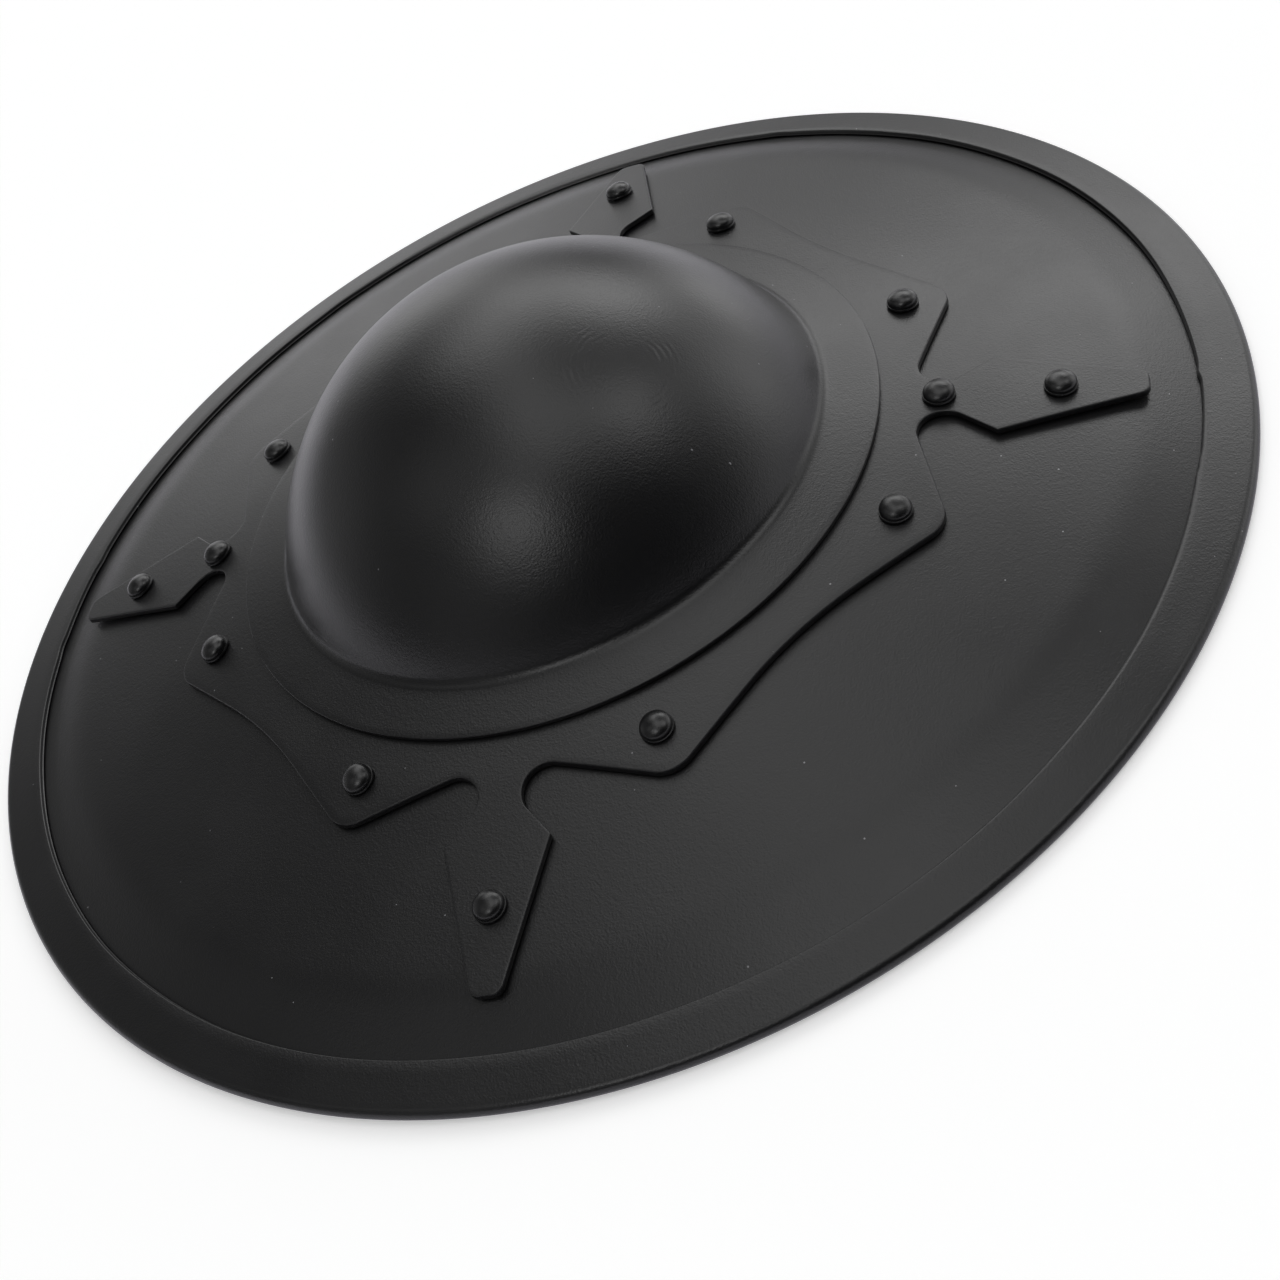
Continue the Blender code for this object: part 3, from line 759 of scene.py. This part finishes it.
def make_rivets(paint):
    """Each rivet is its outline turned about its own axis, with its crown set a little off
    centre and unevenly by the snap, then leant square to the cone at its place."""
    rng = np.random.default_rng(SNAP_SEED)
    for kind, number, radius, azimuth, with_grip in rivet_places():
        r, z = rivet_outline(with_grip).T[:, :, None]
        angle = np.linspace(0, math.tau, AROUND_RIVET, endpoint=False)
        top = smoothstep((z - SEAT_GAP - HEAD_HEIGHT + HEAD_CROWN) / HEAD_CROWN)
        lean = rng.uniform(-SNAP_LEAN, SNAP_LEAN, 2)
        x = r * np.cos(angle) + lean[0] * top
        y = r * np.sin(angle) + lean[1] * top
        uneven = waves(x, y, SNAP_LENGTHS, int(rng.integers(1000)))
        height = z - top * SNAP_DEPTH * (1 + uneven)
        points = np.stack((x, y, np.broadcast_to(height, x.shape)), axis=-1).reshape(-1, 3)
        arm = round(azimuth / (math.tau / ARM_COUNT)) % ARM_COUNT
        place_x = radius * math.cos(azimuth)
        place_y = radius * math.sin(azimuth)
        seat = cone_height(radius, PLATE_OFFSET + PLATE_SHEET / 2) + plate_lift(radius, arm)
        place = Matrix.Translation((place_x, place_y, seat + dents(place_x, place_y)))
        turn = Matrix.Rotation(azimuth, 4, "Z") @ Matrix.Rotation(DISH_ANGLE, 4, "Y")
        matrix = np.array(place @ turn)
        points = points @ matrix[:3, :3].T + matrix[:3, 3]
        faces = grid_faces(len(r), AROUND_RIVET, round_columns=True)
        name = f"{kind}_rivet_{number}"
        new_piece(f"{name}_turned", points, faces, paint, [name])


def make_grip(paint):
    """Sections along X of flat strap ends that swell into an oval across the opening.

    Each section is |y / w|^n + |h / t|^n = 1, where the power n is high on the flat ends and low
    on the oval, and the half sizes w and t blend with it. A strap's end is a half round.
    """
    turn = np.linspace(0, math.pi / 2, STRAP_END_STEPS + 1)
    reach = np.concatenate((
        np.linspace(0, OPENING_RADIUS - GRIP_RUNOUT, HELD_STEPS + 1)[:-1],
        np.linspace(OPENING_RADIUS - GRIP_RUNOUT, OPENING_RADIUS, SWELL_STEPS + 1)[:-1],
        np.linspace(OPENING_RADIUS, NECK_RIVET_RADIUS, STRAP_STEPS + 1)[:-1],
        NECK_RIVET_RADIUS + STRAP_HALF_WIDTH * np.sin(turn),
    ))
    narrowing = np.concatenate((np.ones(len(reach) - len(turn)), np.cos(turn)))
    flat = smoothstep((reach - OPENING_RADIUS + GRIP_RUNOUT) / GRIP_RUNOUT)
    strap_z = cone_height(reach, STRAP_OFFSET)
    grip_z = cone_height(OPENING_RADIUS, STRAP_OFFSET) - GRIP_DROP
    centre_z = grip_z + (strap_z - grip_z) * flat
    pitch = -DISH_ANGLE * flat
    half_wide = (GRIP_HALF_WIDTH + (STRAP_HALF_WIDTH - GRIP_HALF_WIDTH) * flat) * narrowing
    half_deep = (GRIP_THICKNESS + (STRAP_THICKNESS - GRIP_THICKNESS) * flat) / 2
    power = (OVAL_POWER + (STRAP_POWER - OVAL_POWER) * flat)[:, None]
    angle = math.tau * np.arange(AROUND_GRIP) / AROUND_GRIP
    depth = signed_power(np.sin(angle), 2 / power) * half_deep[:, None]
    x = reach[:, None] - depth * np.sin(pitch)[:, None]
    y = signed_power(np.cos(angle), 2 / power) * half_wide[:, None]
    z = centre_z[:, None] + depth * np.cos(pitch)[:, None]
    half = np.stack((x, y, z), axis=-1)
    points = np.concatenate((half[:0:-1] * (-1, 1, 1), half))
    faces = grid_faces(len(points), len(angle), round_columns=True)
    new_piece("grip_bar", points.reshape(-1, 3), faces, paint, ["grip"])


def add_node(tree, kind, inputs=None, **settings):
    """A shader node with its settings, and its inputs set to values or linked from sockets."""
    made = tree.nodes.new(kind)
    for key, value in settings.items():
        setattr(made, key, value)
    for key, value in (inputs or {}).items():
        if isinstance(value, bpy.types.NodeSocket):
            tree.links.new(value, made.inputs[key])
        else:
            made.inputs[key].default_value = value
    return made


def math_node(tree, operation, first, second=0.0, clamp=False):
    """Result of a Math node on values or sockets."""
    made = add_node(tree, "ShaderNodeMath", {0: first, 1: second}, operation=operation, use_clamp=clamp)
    return made.outputs[0]


def new_group(name, inputs, outputs):
    """An empty shader group and its ends: inputs and outputs are (name, kind, default)."""
    group = bpy.data.node_groups.new(name, "ShaderNodeTree")
    for way, sockets in (("INPUT", inputs), ("OUTPUT", outputs)):
        for socket_name, kind, default in sockets:
            socket = group.interface.new_socket(socket_name, in_out=way, socket_type=kind)
            if default is not None:
                socket.default_value = default
    start = group.nodes.new("NodeGroupInput")
    end = group.nodes.new("NodeGroupOutput")
    return group, start.outputs, end.inputs


def ease(tree, value, low, high):
    """Smooth rise from 0 at the low value to 1 at the high one."""
    inputs = {"Value": value, 1: low, 2: high, 3: 0.0, 4: 1.0}
    return add_node(tree, "ShaderNodeMapRange", inputs, interpolation_type="SMOOTHSTEP").outputs[0]


def noise(tree, place, scale, detail, roughness=0.5):
    """Noise about a half at a place. The scale is the number of its waves in a metre."""
    inputs = {"Vector": place, "Scale": scale, "Detail": detail, "Roughness": roughness}
    return add_node(tree, "ShaderNodeTexNoise", inputs).outputs["Fac"]


def paint_grain_group():
    """Sprayed paint's fine orange peel: two sizes of noise added as a height, and their slow
    neighbour as a mask that varies the gloss."""
    group, given, out = new_group(
        "paint_grain",
        [("Vector", VECTOR, None), ("Size", FLOAT, GRAIN_SIZE), ("Gloss Size", FLOAT, GLOSS_SIZE)],
        [("Height", FLOAT, None), ("Gloss", FLOAT, None)],
    )
    fine = math_node(group, "DIVIDE", 1.0, given["Size"])
    coarse = math_node(group, "MULTIPLY", fine, COARSE_SCALE)
    slow = math_node(group, "DIVIDE", 1.0, given["Gloss Size"])
    small = noise(group, given["Vector"], fine, 2.0)
    large = noise(group, given["Vector"], coarse, 1.0)
    weighted = math_node(group, "MULTIPLY", large, COARSE_WEIGHT)
    group.links.new(math_node(group, "ADD", small, weighted), out["Height"])
    group.links.new(noise(group, given["Vector"], slow, 4.0, roughness=0.55), out["Gloss"])


def pale_specks_group():
    """Tiny pale specks in the paint: the middles of a few scattered cells seen from above, chosen
    by the cell's own random colour, which also sets their size."""
    group, given, out = new_group(
        "pale_specks",
        [
            ("Vector", VECTOR, None),
            ("Spacing", FLOAT, SPECK_SPACING),
            ("Radius", FLOAT, SPECK_RADIUS),
            ("Share", FLOAT, SPECK_SHARE),
        ],
        [("Mask", FLOAT, None)],
    )
    scale = math_node(group, "DIVIDE", 1.0, given["Spacing"])
    inputs = {"Vector": given["Vector"], "Scale": scale}
    cells = add_node(group, "ShaderNodeTexVoronoi", inputs, voronoi_dimensions="2D").outputs
    parts = add_node(group, "ShaderNodeSeparateColor", {"Color": cells["Color"]}).outputs
    distance = math_node(group, "MULTIPLY", cells["Distance"], given["Spacing"])
    radius = math_node(group, "MULTIPLY", given["Radius"], parts["Green"])
    near = math_node(group, "LESS_THAN", distance, radius)
    chosen = math_node(group, "LESS_THAN", parts["Red"], given["Share"])
    group.links.new(math_node(group, "MULTIPLY", near, chosen), out["Mask"])


def tool_marks_group():
    """Ripples that a planishing tool leaves about one spot: a sine of the distance from the
    spot, shown between two distances and only to both sides along a direction, with gaps."""
    group, given, out = new_group(
        "tool_marks",
        [
            ("Vector", VECTOR, None),
            ("Spot", VECTOR, MARKS_SPOT),
            ("Along", VECTOR, MARKS_ALONG),
            ("Pitch", FLOAT, MARKS_PITCH),
            ("Inner", FLOAT, MARKS_INNER),
            ("Outer", FLOAT, MARKS_OUTER),
        ],
        [("Height", FLOAT, None)],
    )
    inputs = {0: given["Vector"], 1: given["Spot"]}
    away = add_node(group, "ShaderNodeVectorMath", inputs, operation="SUBTRACT").outputs["Vector"]
    distance = add_node(group, "ShaderNodeVectorMath", {0: away}, operation="LENGTH").outputs["Value"]
    inputs = {0: away, 1: given["Along"]}
    side = add_node(group, "ShaderNodeVectorMath", inputs, operation="DOT_PRODUCT").outputs["Value"]
    slant = math_node(group, "DIVIDE", math_node(group, "ABSOLUTE", side), distance)
    sideways = ease(group, slant, *MARKS_SLANT)
    start = ease(group, math_node(group, "SUBTRACT", distance, given["Inner"]), 0.0, MARKS_EASE_IN)
    stop = ease(group, math_node(group, "SUBTRACT", given["Outer"], distance), 0.0, MARKS_EASE_OUT)
    broken = ease(group, noise(group, given["Vector"], MARKS_PATCHES, 2.0), *MARKS_NOISE)
    turns = math_node(group, "DIVIDE", distance, given["Pitch"])
    wave = math_node(group, "SINE", math_node(group, "MULTIPLY", turns, math.tau))
    for mask in (sideways, start, stop, broken):
        wave = math_node(group, "MULTIPLY", wave, mask)
    group.links.new(wave, out["Height"])


def worn_band_group():
    """Where a hand closes round the grip: full up to a half length from the middle along X, then
    fading, and patchy."""
    group, given, out = new_group(
        "worn_band",
        [("Vector", VECTOR, None), ("Half Length", FLOAT, WORN_HALF_LENGTH), ("Fade", FLOAT, WORN_FADE)],
        [("Mask", FLOAT, None)],
    )
    x = add_node(group, "ShaderNodeSeparateXYZ", {"Vector": given["Vector"]}).outputs["X"]
    past = math_node(group, "SUBTRACT", math_node(group, "ABSOLUTE", x), given["Half Length"])
    faded = math_node(group, "DIVIDE", past, given["Fade"])
    inside = math_node(group, "SUBTRACT", 1.0, faded, clamp=True)
    patchy = ease(group, noise(group, given["Vector"], WORN_PATCHES, 3.0), *WORN_NOISE)
    group.links.new(math_node(group, "MULTIPLY", inside, patchy), out["Mask"])


def use_group(tree, name, inputs):
    """Outputs of a node that runs the group of that name."""
    return add_node(tree, "ShaderNodeGroup", inputs, node_tree=bpy.data.node_groups[name]).outputs


def mix_colour(tree, mask, first, second):
    """Colour that goes from the first, a colour or a socket, to the second with the mask."""
    first = first if isinstance(first, bpy.types.NodeSocket) else (*first, 1)
    inputs = {"Factor": mask, MIX_FIRST: first, MIX_SECOND: (*second, 1)}
    return add_node(tree, "ShaderNodeMix", inputs, data_type="RGBA").outputs[MIX_RESULT]


def black_paint(name, roughness, grain_depth=GRAIN_DEPTH, marks=False, worn=False):
    """Satin black paint on steel: orange peel, uneven gloss and pale specks. The boss adds tool
    marks, and the grip is duller and greyer where it is held."""
    material = bpy.data.materials.new(name)
    material.use_nodes = True
    tree = material.node_tree
    shader = tree.nodes["Principled BSDF"]
    place = add_node(tree, "ShaderNodeTexCoord").outputs["Object"]
    grain = use_group(tree, "paint_grain", {"Vector": place})
    specks = use_group(tree, "pale_specks", {"Vector": place})
    colour = mix_colour(tree, specks["Mask"], BLACK, SPECK_GREY)
    low = roughness - GLOSS_SPREAD / 2
    high = roughness + GLOSS_SPREAD / 2
    inputs = {"Value": grain["Gloss"], 1: GLOSS_NOISE[0], 2: GLOSS_NOISE[1], 3: low, 4: high}
    gloss = add_node(tree, "ShaderNodeMapRange", inputs).outputs[0]
    height = grain["Height"]
    if worn:
        band = use_group(tree, "worn_band", {"Vector": place})
        colour = mix_colour(tree, band["Mask"], colour, WORN_GREY)
        rubbed = math_node(tree, "MULTIPLY", band["Mask"], WORN_ROUGHNESS)
        gloss = math_node(tree, "ADD", gloss, rubbed)
    if marks:
        ripples = use_group(tree, "tool_marks", {"Vector": place})
        marked = math_node(tree, "MULTIPLY", ripples["Height"], MARKS_DEPTH)
        height = math_node(tree, "ADD", height, marked)
    tree.links.new(colour, shader.inputs["Base Color"])
    tree.links.new(gloss, shader.inputs["Roughness"])
    bump = add_node(tree, "ShaderNodeBump", {"Height": height, "Distance": grain_depth, "Strength": 1.0})
    tree.links.new(bump.outputs[0], shader.inputs["Normal"])
    return material


def make_floor():
    """Pale seamless floor that shows from above only and lets the light below it through. It glows
    a little, by one amount to the camera and by another in the shield's reflections."""
    mesh = bpy.data.meshes.new("floor")
    corners = [(x * FLOOR_REACH, y * FLOOR_REACH, 0) for x, y in ((-1, -1), (1, -1), (1, 1), (-1, 1))]
    mesh.from_pydata(corners, [], [(0, 1, 2, 3)])
    floor = bpy.data.objects.new("floor", mesh)
    bpy.context.scene.collection.objects.link(floor)
    material = bpy.data.materials.new("pale_floor")
    material.use_nodes = True
    tree = material.node_tree
    shader = tree.nodes["Principled BSDF"]
    shader.inputs["Base Color"].default_value = (FLOOR_GREY, FLOOR_GREY, FLOOR_GREY, 1)
    shader.inputs["Roughness"].default_value = FLOOR_ROUGHNESS
    shader.inputs["Specular IOR Level"].default_value = FLOOR_SPECULAR
    shader.inputs["Emission Strength"].default_value = 1
    ray = add_node(tree, "ShaderNodeLightPath").outputs
    glow = mix_colour(tree, ray["Is Camera Ray"], FLOOR_SHEEN, FLOOR_GLOW)
    tree.links.new(glow, shader.inputs["Emission Color"])
    behind = add_node(tree, "ShaderNodeNewGeometry").outputs["Backfacing"]
    clear = add_node(tree, "ShaderNodeBsdfTransparent").outputs[0]
    hidden = math_node(tree, "MAXIMUM", behind, ray["Is Shadow Ray"])
    mixed = add_node(tree, "ShaderNodeMixShader", {0: hidden, 1: shader.outputs[0], 2: clear}).outputs[0]
    tree.links.new(mixed, tree.nodes["Material Output"].inputs["Surface"])
    mesh.materials.append(material)


def towards(azimuth, elevation):
    """Unit vector from the shield in a direction given in degrees."""
    around = math.radians(azimuth)
    above = math.radians(elevation)
    level = math.cos(above)
    return Vector((level * math.cos(around), level * math.sin(around), math.sin(above)))


def soft_glow_group():
    """A soft round light far away: its brightness times e to the power of the cosine of the angle
    off its middle less one, over the square of its spread."""
    group, given, out = new_group(
        "soft_glow",
        [
            ("Direction", VECTOR, None),
            ("Towards", VECTOR, None),
            ("Spread", FLOAT, None),
            ("Brightness", FLOAT, None),
        ],
        [("Brightness", FLOAT, None)],
    )
    inputs = {0: given["Direction"], 1: given["Towards"]}
    cosine = add_node(group, "ShaderNodeVectorMath", inputs, operation="DOT_PRODUCT").outputs["Value"]
    square = math_node(group, "MULTIPLY", given["Spread"], given["Spread"])
    fall = math_node(group, "DIVIDE", math_node(group, "SUBTRACT", cosine, 1.0), square)
    glow = math_node(group, "EXPONENT", fall)
    group.links.new(math_node(group, "MULTIPLY", glow, given["Brightness"]), out["Brightness"])


def make_light():
    """The studio round the shield: the sum of soft glows in a dark room. The camera itself sees a
    pale backdrop, and a lamp below the floor lights the underside."""
    world = bpy.data.worlds.new("studio")
    bpy.context.scene.world = world
    world.use_nodes = True
    tree = world.node_tree
    direction = add_node(tree, "ShaderNodeTexCoord").outputs["Generated"]
    total = 0.0
    for _, azimuth, elevation, spread, brightness in GLOWS:
        inputs = {
            "Direction": direction,
            "Towards": towards(azimuth, elevation),
            "Spread": math.radians(spread),
            "Brightness": brightness,
        }
        total = math_node(tree, "ADD", total, use_group(tree, "soft_glow", inputs)["Brightness"])
    room = tree.nodes["Background"]
    room.inputs["Color"].default_value = (1, 1, 1, 1)
    tree.links.new(total, room.inputs["Strength"])
    backdrop = add_node(tree, "ShaderNodeBackground", {"Color": (BACKDROP, BACKDROP, BACKDROP, 1)})
    seen = add_node(tree, "ShaderNodeLightPath").outputs["Is Camera Ray"]
    mixed = add_node(tree, "ShaderNodeMixShader", {0: seen, 1: room.outputs[0], 2: backdrop.outputs[0]})
    tree.links.new(mixed.outputs[0], tree.nodes["World Output"].inputs["Surface"])
    light = bpy.data.lights.new("under_lamp", "AREA")
    light.size = UNDER_LAMP_SIZE
    light.energy = UNDER_LAMP_BRIGHTNESS * math.pi * UNDER_LAMP_SIZE**2
    lamp = bpy.data.objects.new("under_lamp", light)
    lamp.location = (0, 0, -UNDER_LAMP_DEPTH)
    lamp.rotation_euler = (math.pi, 0, 0)
    lamp.visible_camera = False
    bpy.context.scene.collection.objects.link(lamp)


def make_camera():
    """The photograph's camera: it looks from its place at its aim, and rolls about that line."""
    camera = bpy.data.objects.new("camera", bpy.data.cameras.new("camera"))
    camera.data.lens = CAMERA_LENS
    camera.data.sensor_width = SENSOR_WIDTH
    camera.data.clip_start = NEAREST_SHOWN
    camera.location = CAMERA_PLACE
    camera.rotation_mode = "QUATERNION"
    level = (CAMERA_AIM - CAMERA_PLACE).to_track_quat("-Z", "Y")
    camera.rotation_quaternion = level @ Quaternion((0, 0, 1), CAMERA_ROLL)
    bpy.context.scene.collection.objects.link(camera)
    bpy.context.scene.camera = camera
    bpy.context.scene.view_settings.view_transform = "Standard"


soft_glow_group()
paint_grain_group()
pale_specks_group()
tool_marks_group()
worn_band_group()
make_camera()
make_light()
make_floor()
make_body(black_paint("body_black", roughness=0.32))
make_cross_plate(black_paint("plate_black", roughness=0.32))
make_boss(black_paint("boss_black", roughness=0.3, marks=True))
make_rivets(black_paint("rivet_black", roughness=0.28, grain_depth=GRAIN_DEPTH / 2))
make_grip(black_paint("grip_black", roughness=0.4, worn=True))
